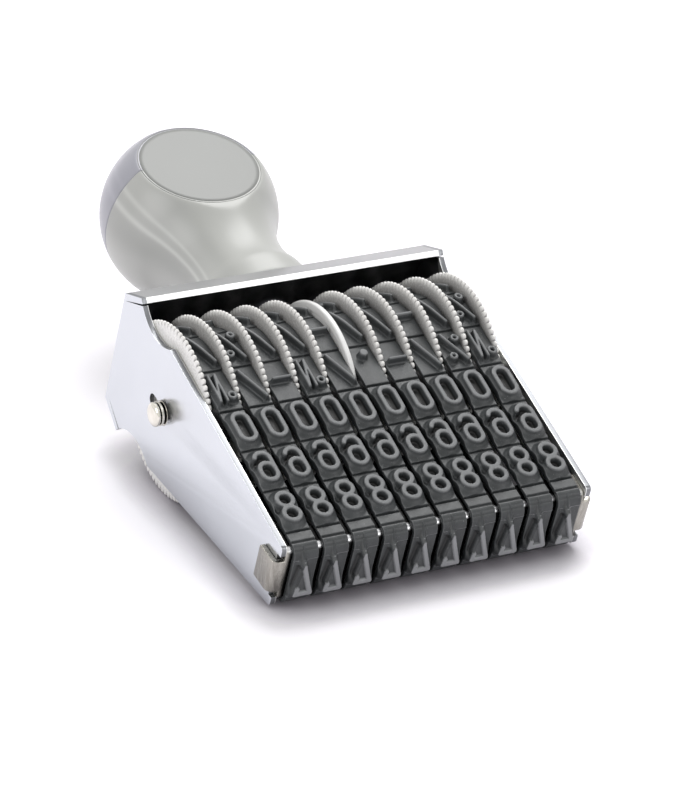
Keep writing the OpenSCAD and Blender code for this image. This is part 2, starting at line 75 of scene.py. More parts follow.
def gridMesh(name, points, closedRows=False, closedColumns=False, mergePoles=False, tone=None):
    # A grid of points joined by four-sided faces. Closed ways join the last line to the
    # first. The volume's sign says which way the faces look, and they are turned outwards.
    # Tone is a number on every point, for the material.
    rows, columns = points.shape[:2]
    index = np.arange(rows * columns).reshape(rows, columns)
    if closedRows:
        index = np.vstack([index, index[:1]])
    if closedColumns:
        index = np.hstack([index, index[:, :1]])
    faces = np.stack([index[:-1, :-1], index[:-1, 1:], index[1:, 1:], index[1:, :-1]], axis=-1)
    faces = faces.reshape(-1, 4)
    corners = layDown(points).reshape(-1, 3)
    first, second, third, fourth = (corners[faces[:, side]] for side in range(4))
    middle = first + second + third + fourth - 4 * corners.mean(axis=0)
    volume = np.sum(middle * np.cross(third - first, fourth - second))
    if volume < 0:
        faces = faces[:, ::-1]
    mesh = bpy.data.meshes.new(name)
    mesh.vertices.add(len(corners))
    mesh.vertices.foreach_set("co", corners.astype(np.float32).ravel())
    mesh.loops.add(faces.size)
    mesh.loops.foreach_set("vertex_index", faces.astype(np.int32).ravel())
    mesh.polygons.add(len(faces))
    mesh.polygons.foreach_set("loop_start", np.arange(0, faces.size, 4, dtype=np.int32))
    mesh.polygons.foreach_set("use_smooth", np.ones(len(faces), dtype=bool))
    mesh.update(calc_edges=True)
    if tone is not None:
        values = mesh.attributes.new("tone", "FLOAT", "POINT").data
        values.foreach_set("value", tone.astype(np.float32).ravel())
    if mergePoles:
        mergeDoubles(mesh)
    return mesh


def mergeDoubles(mesh, distance=2e-7):
    work = bmesh.new()
    work.from_mesh(mesh)
    bmesh.ops.remove_doubles(work, verts=work.verts, dist=distance)
    work.to_mesh(mesh)
    work.free()


def placePiece(name, mesh, body, material, nodes=()):
    piece = bpy.data.objects.new(name, mesh)
    bpy.context.scene.collection.objects.link(piece)
    piece.data.materials.clear()
    piece.data.materials.append(material)
    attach(piece, body)
    if nodes:
        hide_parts(*nodes)
    return piece


def arcPoints(middle, radius, start, end, steps):
    # Points of a circle's arc between two angles in degrees
    angle = np.radians(np.linspace(start, end, steps))
    return np.stack([middle[0] + radius * np.cos(angle), middle[1] + radius * np.sin(angle)], axis=-1)


def roundLine(corners, reach, steps=5, closed=True):
    # Each corner of an outline becomes a short parabola that leaves both sides at reach
    # from the corner, with one more point a little further out to keep the sides flat
    corners = np.asarray(corners, dtype=float)
    before = np.roll(corners, 1, axis=0) - corners
    after = np.roll(corners, -1, axis=0) - corners
    lengthBefore = np.linalg.norm(before, axis=1, keepdims=True)
    lengthAfter = np.linalg.norm(after, axis=1, keepdims=True)
    start = before / lengthBefore * np.minimum(reach, 0.4 * lengthBefore)
    end = after / lengthAfter * np.minimum(reach, 0.4 * lengthAfter)
    share = np.linspace(0, 1, steps)[None, :, None]
    curve = (1 - share) ** 2 * start[:, None] + share ** 2 * end[:, None]
    curve = np.concatenate([1.2 * start[:, None], curve, 1.2 * end[:, None]], axis=1) + corners[:, None]
    if closed:
        return curve.reshape(-1, 2)
    return np.vstack([corners[:1], curve[1:-1].reshape(-1, 2), corners[-1:]])


def turnedOnAxle(profile, steps):
    # A profile of (place along the axle, radius) carried round the axle
    angle = np.linspace(0, 2 * math.pi, steps, endpoint=False)[None, :]
    place, radius = profile[:, :1], profile[:, 1:]
    return np.stack([place + 0 * angle, radius * np.cos(angle),
                     stamp["axleHeight"] + radius * np.sin(angle)], axis=-1)


def newMaterial(name, **sockets):
    material = bpy.data.materials.new(name)
    material.use_nodes = True
    shader = material.node_tree.nodes["Principled BSDF"]
    for socket, value in sockets.items():
        shader.inputs[socket.replace("_", " ")].default_value = value
    return material, shader


def addNode(material, kind, inputs=None, **settings):
    made = material.node_tree.nodes.new(kind)
    for setting, value in settings.items():
        setattr(made, setting, value)
    for socket, value in (inputs or {}).items():
        if isinstance(value, bpy.types.NodeSocket):
            material.node_tree.links.new(value, made.inputs[socket])
        else:
            made.inputs[socket].default_value = value
    return made


def objectNoise(material, scale, detail=3.0, stretch=(1, 1, 1), **settings):
    # Noise on the piece's own coordinates; scale is features per metre
    place = addNode(material, "ShaderNodeTexCoord")
    turned = addNode(material, "ShaderNodeMapping",
                     {"Vector": place.outputs["Object"], "Scale": stretch})
    noise = addNode(material, "ShaderNodeTexNoise",
                    {"Vector": turned.outputs["Vector"], "Scale": scale, "Detail": detail, **settings})
    return noise.outputs["Fac"]


def ownTone(material):
    # The number that gridMesh stores on every point
    return addNode(material, "ShaderNodeAttribute", attribute_name="tone").outputs["Fac"]


def calculate(material, operation, first, second=0.0):
    return addNode(material, "ShaderNodeMath", {0: first, 1: second}, operation=operation).outputs[0]


def alongWay(material, place, way):
    # How far a place lies along a direction
    made = addNode(material, "ShaderNodeVectorMath", {0: place, 1: way}, operation="DOT_PRODUCT")
    return made.outputs["Value"]


def spread(material, value, low, high, fromLow=0.3, fromHigh=0.7):
    # Carries a value's range onto low to high. Unless another range is given, it is the
    # middle of a noise's.
    made = addNode(material, "ShaderNodeMapRange",
                   {"Value": value, "From Min": fromLow, "From Max": fromHigh,
                    "To Min": low, "To Max": high})
    return made.outputs["Result"]


def blendColours(material, share, first, second):
    made = addNode(material, "ShaderNodeMix", data_type="RGBA")
    material.node_tree.links.new(share, made.inputs["Factor"])
    for socket, colour in ((made.inputs[6], first), (made.inputs[7], second)):
        if isinstance(colour, bpy.types.NodeSocket):
            material.node_tree.links.new(colour, socket)
        else:
            socket.default_value = (*colour, 1)
    return made.outputs[2]


def noiseColour(material, noise, low, high):
    return blendColours(material, spread(material, noise, 0, 1), low, high)


def feed(shader, socket, value):
    shader.id_data.links.new(value, shader.inputs[socket])


def addBump(material, shader, height, strength, distance):
    made = addNode(material, "ShaderNodeBump",
                   {"Height": height, "Strength": strength, "Distance": distance})
    feed(shader, "Normal", made.outputs["Normal"])


def bandRubber():
    # Dark greenish rubber: cloudy tone, pale dust specks, worn lighter tops of the characters
    # and painted highlight lines along the pad edges where the tone is near 1, palest on the
    # printing face and on the painted highlight of its raised line where it is above 1, painted
    # shade, black, in their hollows where it is below 0
    look = {"low": (0.023, 0.026, 0.027), "high": (0.041, 0.045, 0.047),
            "top": (0.132, 0.137, 0.141), "topTone": (0.80, 0.99),
            "face": (0.26, 0.265, 0.275), "faceTone": (1.05, 1.50),
            "speck": (0.20, 0.205, 0.205), "speckNoise": (0.69, 0.75),
            "hollow": (0.006, 0.006, 0.006), "hollowTone": (-1, -0.05)}
    material, shader = newMaterial("bandRubber")
    base = noiseColour(material, objectNoise(material, 420, 4), look["low"], look["high"])
    grain = objectNoise(material, 5200, 2)
    tone = ownTone(material)
    toned = blendColours(material, spread(material, tone, 0, 1, *look["topTone"]), base, look["top"])
    paled = blendColours(material, spread(material, tone, 0, 1, *look["faceTone"]), toned, look["face"])
    speck = spread(material, grain, 0, 1, *look["speckNoise"])
    dusted = blendColours(material, speck, paled, look["speck"])
    # Painted shade: the hollows between the strokes turn black
    depth = spread(material, tone, 1, 0, *look["hollowTone"])
    feed(shader, "Base Color", blendColours(material, depth, dusted, look["hollow"]))
    feed(shader, "Roughness", spread(material, grain, 0.34, 0.56))
    addBump(material, shader, grain, 0.25, 0.00006)
    return material


def wheelPlastic():
    # Warm white moulded plastic with faint flow clouds, and painted shade, dark where its tone is low
    look = {"paintedShade": (0.060, 0.056, 0.057), "low": (0.88, 0.865, 0.835), "high": (0.95, 0.94, 0.915)}
    material, shader = newMaterial("wheelPlastic")
    base = noiseColour(material, objectNoise(material, 160, 3), look["low"], look["high"])
    # Painted shade where the tone is low
    feed(shader, "Base Color", blendColours(material, ownTone(material), look["paintedShade"], base))
    grain = objectNoise(material, 3000, 2)
    feed(shader, "Roughness", spread(material, grain, 0.20, 0.32))
    addBump(material, shader, grain, 0.08, 0.00004)
    return material


def dividerPlastic():
    # Whiter, glossier plastic of the disc in the middle
    look = {"low": (0.86, 0.855, 0.84), "high": (0.91, 0.905, 0.895)}
    material, shader = newMaterial("dividerPlastic")
    cloud = objectNoise(material, 140, 2)
    feed(shader, "Base Color", noiseColour(material, cloud, look["low"], look["high"]))
    feed(shader, "Roughness", spread(material, cloud, 0.14, 0.22))
    return material


def uprightPlace(material):
    # The upright frame's place in millimetres: how far along the axle from the middle, how
    # far from the middle to the front or the back, and the height above the axle, each as a
    # socket
    place = addNode(material, "ShaderNodeTexCoord")
    moved = addNode(material, "ShaderNodeVectorMath",
                    {0: place.outputs["Object"], 1: tuple(axlePlace)}, operation="SUBTRACT")
    sine, cosine = math.sin(layTurn) * 1000, math.cos(layTurn) * 1000
    ways = ((1000, 0, 0), (0, sine, -cosine), (0, cosine, sine))
    side, front, height = (alongWay(material, moved.outputs[0], way) for way in ways)
    return calculate(material, "ABSOLUTE", side), calculate(material, "ABSOLUTE", front), height


def bracketChrome():
    # Plated sheet: satin and bright outside, with a painted darker reflection on the lips and a
    # painted highlight along their cut edges, greyer on the plates' cut edges, and painted shade
    # with painted streaks of faint reflection inside
    look = {"low": (0.60, 0.62, 0.65), "high": (0.63, 0.65, 0.68), "edge": (0.20, 0.205, 0.215),
            "insideShadeLow": (0.12, 0.12, 0.125), "insideShadeHigh": (0.26, 0.26, 0.27),
            "lip": (0.36, 0.36, 0.365), "lipEdgeHighlight": (0.90, 0.91, 0.90)}
    lip = {"start": 11.2, "run": 3.0, "drop": 5.4}
    material, shader = newMaterial("bracketChrome", Metallic=1.0)
    side, front, height = uprightPlace(material)
    bright = noiseColour(material, objectNoise(material, 60, 2), look["low"], look["high"])
    streak = objectNoise(material, 260, 3, (1, 0.25, 1))
    # How far above the top, over the lip's outer face, and along it down to its cut edge
    top = stamp["bracketTop"] - stamp["axleHeight"]
    slope = math.hypot(lip["run"], lip["drop"])
    place = addNode(material, "ShaderNodeCombineXYZ", {"X": front, "Y": height})
    moved = addNode(material, "ShaderNodeVectorMath",
                    {0: place.outputs[0], 1: (lip["start"], top, 0)}, operation="SUBTRACT").outputs[0]
    above = calculate(material, "SUBTRACT", height, top)
    over = alongWay(material, moved, (lip["drop"] / slope, lip["run"] / slope, 0))
    down = alongWay(material, moved, (lip["run"] / slope, -lip["drop"] / slope, 0))
    inner = stamp["innerHalf"]
    outer = inner + stamp["sheet"]
    atOuter = (outer - 0.10, outer - 0.02)
    # Each coat covers the ones before it where its distance passes the range
    # The lip's grey is a painted darker reflection, and its cut edge a painted highlight
    coats = ((calculate(material, "MAXIMUM", over, above), (-0.3, -0.05), look["lip"]),
             (down, (slope - 0.12, slope - 0.02), look["lipEdgeHighlight"]),
             (above, (-0.06, -0.01), bright),
             (side, (inner + 0.04, inner + 0.16), look["edge"]),
             (side, atOuter, bright))
    # Painted shade inside, with streaks of painted reflection
    base = noiseColour(material, streak, look["insideShadeLow"], look["insideShadeHigh"])
    for distance, reach, colour in coats:
        base = blendColours(material, spread(material, distance, 0, 1, *reach), base, colour)
    feed(shader, "Base Color", base)
    feed(shader, "Roughness", spread(material, side, 0.34, 0.24, *atOuter))
    addBump(material, shader, objectNoise(material, 700, 3), 0.015, 0.0001)
    return material


def bedNickel():
    # Warm satin nickel at the hooks. Under the bands it has painted shade, with a painted glint at the bend.
    look = {"low": (0.26, 0.247, 0.222), "high": (0.38, 0.365, 0.333), "wall": (0.012, 0.012, 0.012),
            "bend": (0.70, 0.70, 0.71), "glintStart": (0.1, 0.4), "glintEnd": (0.95, 1.3)}
    material, shader = newMaterial("bedNickel", Metallic=1.0)
    side, front, height = uprightPlace(material)
    height = calculate(material, "ADD", height, stamp["axleHeight"])
    streak = objectNoise(material, 900, 3, (2.4, 2.4, 0.25))
    # Painted glint on the bend, between painted shade below and above it
    started = spread(material, height, 0, 1, *look["glintStart"])
    ended = spread(material, height, 0, 1, *look["glintEnd"])
    bend = blendColours(material, started, look["wall"], look["bend"])
    shadedUnder = blendColours(material, ended, bend, look["wall"])
    atHook = spread(material, side, 0, 1, stamp["innerHalf"] - 0.8, stamp["innerHalf"] - 0.2)
    warm = noiseColour(material, streak, look["low"], look["high"])
    feed(shader, "Base Color", blendColours(material, atHook, shadedUnder, warm))
    feed(shader, "Roughness", spread(material, streak, 0.20, 0.34))
    addBump(material, shader, streak, 0.10, 0.00005)
    return material


def axleSteel():
    # Polished rod with fine rings from turning, and painted shade in the two grooves beside each plate
    look = {"low": (0.66, 0.63, 0.56), "high": (0.78, 0.75, 0.68), "groove": (0.045, 0.042, 0.038),
            "grooveRadius": (1.75, 2.05), "grooveShadeEnd": (1.15, 1.22)}
    material, shader = newMaterial("axleSteel", Metallic=1.0)
    rings = objectNoise(material, 500, 2, (12, 1, 1))
    side, front, height = uprightPlace(material)
    across = addNode(material, "ShaderNodeCombineXYZ", {"X": front, "Y": height})
    radius = addNode(material, "ShaderNodeVectorMath", {0: across.outputs[0]}, operation="LENGTH")
    # Painted shade in the grooves
    deep = spread(material, radius.outputs["Value"], 1, 0, *look["grooveRadius"])
    plate = stamp["innerHalf"] + stamp["sheet"]
    inward = spread(material, side, 1, 0, *(plate + end for end in look["grooveShadeEnd"]))
    groove = calculate(material, "MINIMUM", deep, inward)
    base = noiseColour(material, rings, look["low"], look["high"])
    feed(shader, "Base Color", blendColours(material, groove, base, look["groove"]))
    feed(shader, "Roughness", spread(material, rings, 0.07, 0.16))
    return material


def screwSteel():
    look = {"low": (0.20, 0.20, 0.215), "high": (0.30, 0.30, 0.32)}
    material, shader = newMaterial("screwSteel", Metallic=0.9)
    cloud = objectNoise(material, 600, 3)
    feed(shader, "Base Color", noiseColour(material, cloud, look["low"], look["high"]))
    feed(shader, "Roughness", spread(material, cloud, 0.28, 0.42))
    return material


def knobPlastic(name, low, high, roughness):
    # Pearly moulded plastic with soft flow clouds, and painted streaks down the knob: painted
    # highlights where its tone is high, painted shade where it is low
    material, shader = newMaterial(name, Coat_Weight=0.12, Coat_Roughness=0.30)
    flow = objectNoise(material, 70, 2, (1.0, 0.15, 1.0), Distortion=0.6)
    base = noiseColour(material, flow, low, high)
    # Painted highlights where the tone is high, painted shade where it is low
    strength = spread(material, ownTone(material), 0.6, 1.4, -1, 1)
    lit = addNode(material, "ShaderNodeVectorMath", {0: base, "Scale": strength}, operation="SCALE")
    feed(shader, "Base Color", lit.outputs[0])
    feed(shader, "Roughness", spread(material, flow, *roughness))
    return material


rubber = bandRubber()
wheelGrey = wheelPlastic()
dividerWhite = dividerPlastic()
chrome = bracketChrome()
nickel = bedNickel()
steel = axleSteel()
darkSteel = screwSteel()
knobGrey = knobPlastic("knobPlastic", (0.44, 0.445, 0.42), (0.485, 0.49, 0.468), (0.36, 0.42))
capGrey = knobPlastic("capPlastic", (0.33, 0.33, 0.37), (0.38, 0.38, 0.42), (0.28, 0.36))
labelGrey = knobPlastic("labelPlastic", (0.245, 0.25, 0.24), (0.257, 0.262, 0.252), (0.45, 0.50))
print("materials ready")


bandShape = {
    "width": 4.5,
    "inner": 0.05,          # gap between the bed and the rubber
    "innerRound": 0.1,
    "sideRows": (0.55, 0.25),
    "padTop": 0.85,
    "crown": 2.1,           # top of the characters
    "padLength": 8.7,
    "padCount": 6,
    "ribRun": 2.25,
    "facePad": 3.65,        # half the pad under the bed
    "ribs": (4.95, 5.85),   # lines between it and the first pad
    "bedDepth": 10.4,
    "bedRound": 1.2,
    "drumPath": 11.8,
    "lineDepths": (-0.06, 0.08, 0.32),
    "grooveDepth": 0.45,
    "grooveWall": (0.07, 0.25),
    "faceward": 0.15,       # characters sit off their pad's middle, towards the face
    "taper": 0.13,          # how much lower the far end of a pad lies
    "taperMiddle": 0.4,
    "sideRound": 0.14,
    "edgeRows": (0.0, 0.07, 0.12, 0.16, 0.20, 0.26, 0.34),
    "rowStep": 0.135,
    "edgeColumns": (0.0, 0.03, 0.08, 0.16, 0.25),
    "columnStep": 0.105,
    "slip": 0.10,           # how far out of line a band may stop
}
# Painted highlight lines along the grooves, the raised line and the sides: their tone, their
# distance from a groove or an edge, and their width
bandWearAndHighlights = {
    "groove": (0.94, 0.27, 0.07),
    "raisedLine": (1.25, 0, 0.12),
    "side": (1.02, 0.12, 0.11),
    "face": 0.55,           # what the tops of the printing face add to their tone
}
characterShape = {
    "halfWidth": 1.73,
    "halfHeight": 3.2,
    "stroke": 0.76,
    "signStroke": 0.42,
    "steepSkirt": 0.30,     # foot of a character's wall between its strokes
    "wideSkirt": 0.95,      # foot of its wall on the outside
    "signSkirt": 0.55,
    "flare": (-0.1, 0.5),   # where the wall goes from steep to wide, from the outline out
    "skirtBend": 1.6,
    "hollowWall": (0.04, 0.30),
    "hollowInset": (0.15, 0.4),
    "bankPoint": -0.55,     # where the leg of the 7 ends across the band
    "bankRise": 0.62,
    "bankBend": 1.2,
    # strength of the painted shade on the bank's free side
    "bankShade": 0.4,
    "bankLevelPaler": 0.12,
    "nose": (-2.8, -3.9),   # where the front wall of its leg starts and ends
    "noseLean": 0.15,
    "noseSlope": (-4.3, -3.1),
}
cornerPlace = bandShape["bedDepth"] / 2 - bandShape["bedRound"]
cornerHeight = stamp["axleHeight"] - bandShape["bedRound"]
cornerReach = math.hypot(cornerPlace, cornerHeight)
roundRise = bandShape["drumPath"] - bandShape["bedRound"]
lean = math.asin(roundRise / cornerReach) - math.atan2(cornerPlace, cornerHeight)
bendTurn = math.pi / 2 - lean
slopeStart = cornerPlace + bandShape["bedRound"] * bendTurn
slopeRun = math.sqrt(cornerReach ** 2 - roundRise ** 2)
slopeEnd = slopeStart + slopeRun
halfPath = slopeEnd + bandShape["drumPath"] * (math.pi / 2 + lean)
firstEdge = slopeStart + bandShape["ribRun"]


def bandPath(place, height):
    # Side view of the band: straight under the bed, round its edge, straight up the slope
    # and round the drum. Place runs from the middle of the face, positive at the front.
    run = np.abs(place)
    bend = np.clip((run - cornerPlace) / bandShape["bedRound"], 0, bendTurn)
    slope = np.clip(run - slopeStart, 0, slopeRun)
    turn = bendTurn + np.clip(run - slopeEnd, 0, None) / bandShape["drumPath"]
    drum = bandShape["drumPath"]
    along = (np.minimum(run, cornerPlace) + bandShape["bedRound"] * np.sin(bend)
             + slope * math.sin(lean) + drum * (np.sin(turn) - math.sin(bendTurn)))
    up = (bandShape["bedRound"] * (1 - np.cos(bend)) + slope * math.cos(lean)
          + drum * (math.cos(bendTurn) - np.cos(turn)))
    heading = np.where(run < slopeEnd, bend, turn)
    side = np.where(place < 0, 1, -1)
    return side * (along + height * np.sin(heading)), up - height * np.cos(heading)


def characterStrokes():
    # Centre lines of the characters, upright as they print: lines from point to point and
    # arcs with a middle, a radius and two angles in degrees
    wide = characterShape["halfWidth"] - characterShape["stroke"] / 2
    tall = characterShape["halfHeight"] - characterShape["stroke"] / 2
    low = tall - wide
    sides = [("line", -wide, -low, -wide, low), ("line", wide, -low, wide, low)]
    caps = [("arc", 0, low, wide, 0, 180), ("arc", 0, -low, wide, 180, 360)]
    waist = 0.5 * low
    nine = [("arc", 0, low, wide, 0, 180), ("arc", 0, waist, wide, 180, 360),
            ("line", -wide, waist, -wide, low), ("line", wide, -low, wide, low),
            ("arc", 0, -low, wide, 200, 360)]
    six = [(kind, *(-value for value in rest)) if kind == "line"
           else (kind, -rest[0], -rest[1], rest[2], rest[3] + 180, rest[4] + 180)
           for kind, *rest in nine]
    thin = characterShape["halfWidth"] - characterShape["signStroke"] / 2
    point = characterShape["bankPoint"]
    slash = ("line", -1.35, -2.95, 1.3, 2.95)
    return {
        "0": sides + caps,
        "1": [("line", 0.3 * wide, -tall, 0.3 * wide, tall),
              ("line", -0.6 * wide, 0.5 * tall, 0.3 * wide, tall)],
        "2": [("arc", 0, low, wide, -25, 180), ("line", 0.9 * wide, low - 0.4 * wide, -wide, -tall),
              ("line", -wide, -tall, wide, -tall)],
        "3": [("arc", 0, low, wide, -90, 160), ("arc", 0, -low, wide, -160, 90)],
        "4": [("line", 0.5 * wide, -tall, 0.5 * wide, tall),
              ("line", -wide, -0.3 * tall, wide, -0.3 * tall),
              ("line", -wide, -0.3 * tall, 0.5 * wide, tall)],
        "5": [("arc", 0, -low, wide, -160, 140), ("line", -wide, 0, -wide, tall),
              ("line", -wide, tall, wide, tall)],
        "6": six,
        "7": [("line", -wide, tall, wide, tall), ("line", wide, tall, point, -tall),
              ("line", -wide, tall, 0.25 - wide, tall - 1.1)],
        "8": [("arc", 0, low, wide, 0, 360), ("arc", 0, -low, wide, 0, 360)],
        "9": nine,
        "N": [("line", -thin, -2.8, -thin, 2.8), ("line", -0.25, -2.8, -0.25, 2.8),
              ("line", -thin, 2.8, -0.25, -2.8), ("arc", 0.95, 1.9, 0.62, 0, 360)],
        "%": [slash, ("arc", -1.0, 1.9, 0.52, 0, 360), ("arc", 1.0, -1.9, 0.52, 0, 360)],
        "/": [slash],
        "-": [("line", -thin, 0, thin, 0)],
        ".": [("arc", 0, -2.05, 0.5, 0, 360), ("arc", 0, -2.05, 0.15, 0, 360)],
    }


def strokeDistance(strokes, across, along):
    # Distance from every point to the nearest centre line. For an arc it is the distance
    # to its circle, or to its nearer end outside its angles.
    nearest = np.full(np.broadcast(across, along).shape, 99.0)
    for kind, *values in strokes:
        if kind == "line":
            fromX, fromY, toX, toY = values
            runX, runY = toX - fromX, toY - fromY
            share = ((across - fromX) * runX + (along - fromY) * runY) / (runX ** 2 + runY ** 2)
            share = np.clip(share, 0, 1)
            away = np.hypot(across - fromX - share * runX, along - fromY - share * runY)
        else:
            middleX, middleY, radius, start, end = values
            angle = np.degrees(np.arctan2(along - middleY, across - middleX))
            behind = np.mod(angle - start, 360)
            ends = [np.hypot(across - middleX - radius * math.cos(math.radians(tip)),
                             along - middleY - radius * math.sin(math.radians(tip)))
                    for tip in (start, end)]
            onArc = np.abs(np.hypot(across - middleX, along - middleY) - radius)
            away = np.where(behind <= end - start, onArc, np.minimum(*ends))
        nearest = np.minimum(nearest, away)
    return nearest


def characterRise(sign, across, along):
    # 1 on the flat top of a character, falling to 0 at the foot of its wall. The wall is
    # steep between the strokes and flares out round the whole character. The second number
    # is painted shade, 1 deep in a hollow between the strokes.
    shape = characterShape
    isFigure = sign.isdigit()
    stroke = shape["stroke"] if isFigure else shape["signStroke"]
    wide = shape["wideSkirt"] if isFigure else shape["signSkirt"]
    beyond = np.maximum(strokeDistance(strokesOf[sign], across, along) - stroke / 2, 0)
    low = shape["halfHeight"] - shape["halfWidth"]
    outside = np.hypot(across, np.maximum(np.abs(along) - low, 0)) - shape["halfWidth"]
    skirt = shape["steepSkirt"] + (wide - shape["steepSkirt"]) * ease(outside, *shape["flare"])
    rise = np.clip(1 - beyond / skirt, 0, 1) ** shape["skirtBend"]
    # Painted shade in the hollows of 0, 6, 8 and 9
    dark = ease(beyond, *shape["hollowWall"]) * ease(-outside, *shape["hollowInset"]) * (sign in "0689")
    if sign == "7":
        bank, dark = sevenBank(across, along)
        rise = np.maximum(rise, np.maximum(bank, sevenNose(across, along)))
    return rise, dark


def sevenBank(across, along):
    # The three-cornered bank that the 7 stands on: a level inside its outline and a slope
    # outside, from the distances to the lines through its corners. Its free side is steep,
    # with painted shade on it, and its level is painted a little paler.
    shape = characterShape
    wide, tall, point = shape["halfWidth"], shape["halfHeight"], shape["bankPoint"]
    freeRun, legRun = point + wide, wide - point
    free = (-2 * tall * (across + wide) - freeRun * (along - tall)) / math.hypot(freeRun, 2 * tall)
    leg = (2 * tall * (across - wide) - legRun * (along - tall)) / math.hypot(legRun, 2 * tall)
    beyond = np.maximum(leg, along - tall)
    gentle = np.maximum(beyond, 0) / shape["wideSkirt"]
    steep = np.maximum(free, 0) / shape["steepSkirt"]
    bank = shape["bankRise"] * np.clip(1 - np.maximum(gentle, steep), 0, 1) ** shape["bankBend"]
    level = ease(-np.maximum(beyond, free), shape["stroke"] / 2, 0.55)
    # Painted shade on the steep free side, and a paler level
    wall = ease(free, 0.05, 0.20) * (1 - ease(free, 0.5, 1.0)) * (1 - ease(beyond, -0.1, 0.2))
    return bank, shape["bankShade"] * wall - shape["bankLevelPaler"] * level


def sevenNose(across, along):
    # The front wall of the 7's leg: a ridge that runs down to the pad
    shape = characterShape
    start, end = shape["nose"]
    point = shape["bankPoint"]
    ridge = [("line", point, start, point - shape["noseLean"], end)]
    beyond = np.maximum(strokeDistance(ridge, across, along) - shape["stroke"] / 2, 0)
    low, high = shape["noseSlope"]
    slope = np.clip((along - low) / (high - low), 0, 1)
    return np.clip(1 - beyond / shape["steepSkirt"], 0, 1) * slope


strokesOf = characterStrokes()
bandSigns = ["N/%", "/%-", "-/%", "N/%", "/-%", "./%", "-/%", "/-%", "%/-", "N%/"]
# Edges of the pads and lines between them on one side of the middle, and how deep they are
padEdges = [bandShape["facePad"], *bandShape["ribs"]]
padEdges += [firstEdge + count * bandShape["padLength"] for count in range(bandShape["padCount"] + 1)]
edgeDepths = [*bandShape["lineDepths"]] + [bandShape["grooveDepth"]] * (bandShape["padCount"] + 1)
allEdges = np.array([-edge for edge in padEdges[::-1]] + padEdges)
allDepths = np.array(edgeDepths[::-1] + edgeDepths)
bandHalf = bandShape["width"] / 2


def wrapPlace(place):
    # Brings a place along the loop between minus and plus half its length
    return np.mod(place + halfPath, 2 * halfPath) - halfPath


def bandRows():
    # Places along the loop: close together at both edges of a pad, even between them
    near = np.array(bandShape["edgeRows"])
    rows = []
    for start, end in zip(allEdges, np.append(allEdges[1:], 2 * halfPath + allEdges[0])):
        count = max(2, int((end - start - 2 * near[-1]) / bandShape["rowStep"]))
        middle = np.linspace(start + near[-1], end - near[-1], count + 1)
        rows += [start + near[:-1], middle, end - near[-2:0:-1]]
    return np.concatenate(rows)


def bandColumns():
    # Places across the band: close together at its sides
    near = np.array(bandShape["edgeColumns"])
    between = np.arange(-bandHalf + near[-1], bandHalf - near[-1] + 0.05, bandShape["columnStep"])
    return np.concatenate([-bandHalf + near[:-1], between, bandHalf - near[-2::-1]])


def paintedEdgeLine(distance, line):
    # A soft bell of the painted highlight line's tone over its place
    tone, place, width = bandWearAndHighlights[line]
    return tone * np.exp(-((distance - place) / width) ** 2)


def padSurface(place, across):
    # Height of the pads without characters, and the tone of their painted highlight lines
    shape = bandShape
    gaps = np.abs(wrapPlace(place - allEdges[None, :]))
    drop = (allDepths * (1 - ease(gaps, *shape["grooveWall"]))).sum(axis=1, keepdims=True)
    # Painted highlights along the grooves and the raised line
    edgeHighlight = np.where(allDepths > 0.2, paintedEdgeLine(gaps, "groove"), 0)
    edgeHighlight = np.where(allDepths < 0, paintedEdgeLine(gaps, "raisedLine"), edgeHighlight)
    sideGap = bandHalf - np.abs(across)
    tone = np.maximum(edgeHighlight.max(axis=1, keepdims=True), paintedEdgeLine(sideGap, "side"))
    run = np.abs(wrapPlace(place))[:, 0]
    started = np.array([0.0, *padEdges])
    step = np.searchsorted(started, run, side="right") - 1
    share = (run - started[step]) / np.diff([*started, halfPath])[step]
    isTapered = (step > 0) & (step < len(padEdges))
    taper = (isTapered * shape["taper"] * (share - shape["taperMiddle"]))[:, None]
    upright = 1 - np.clip(sideGap, 0, shape["sideRound"]) / shape["sideRound"]
    fall = shape["sideRound"] * (1 - np.sqrt(1 - upright ** 2))
    return shape["padTop"] - taper - drop - fall, tone


def bandCharacters(number, slip, wrapped, across):
    # Rise of a band's characters, and what the painted shade in their hollows and the worn face add to its tone
    shape = bandShape
    middles = firstEdge + (np.arange(shape["padCount"]) + 0.5) * shape["padLength"] - shape["faceward"]
    placed = [("7", slip - wrapped), ("-", np.abs(wrapped) - halfPath)]
    front = "890" + bandSigns[number - 1]
    placed += [(sign, middle + slip - wrapped) for sign, middle in zip(front, middles)]
    placed += [(sign, slip - middle - wrapped) for sign, middle in zip("654321", middles)]
    rises, darks = zip(*(characterRise(sign, across, along) for sign, along in placed))
    faceWear = bandWearAndHighlights["face"] * ease(rises[0], 0.9, 1)
    return np.max(rises, axis=0), faceWear - 2 * np.sum(darks, axis=0)


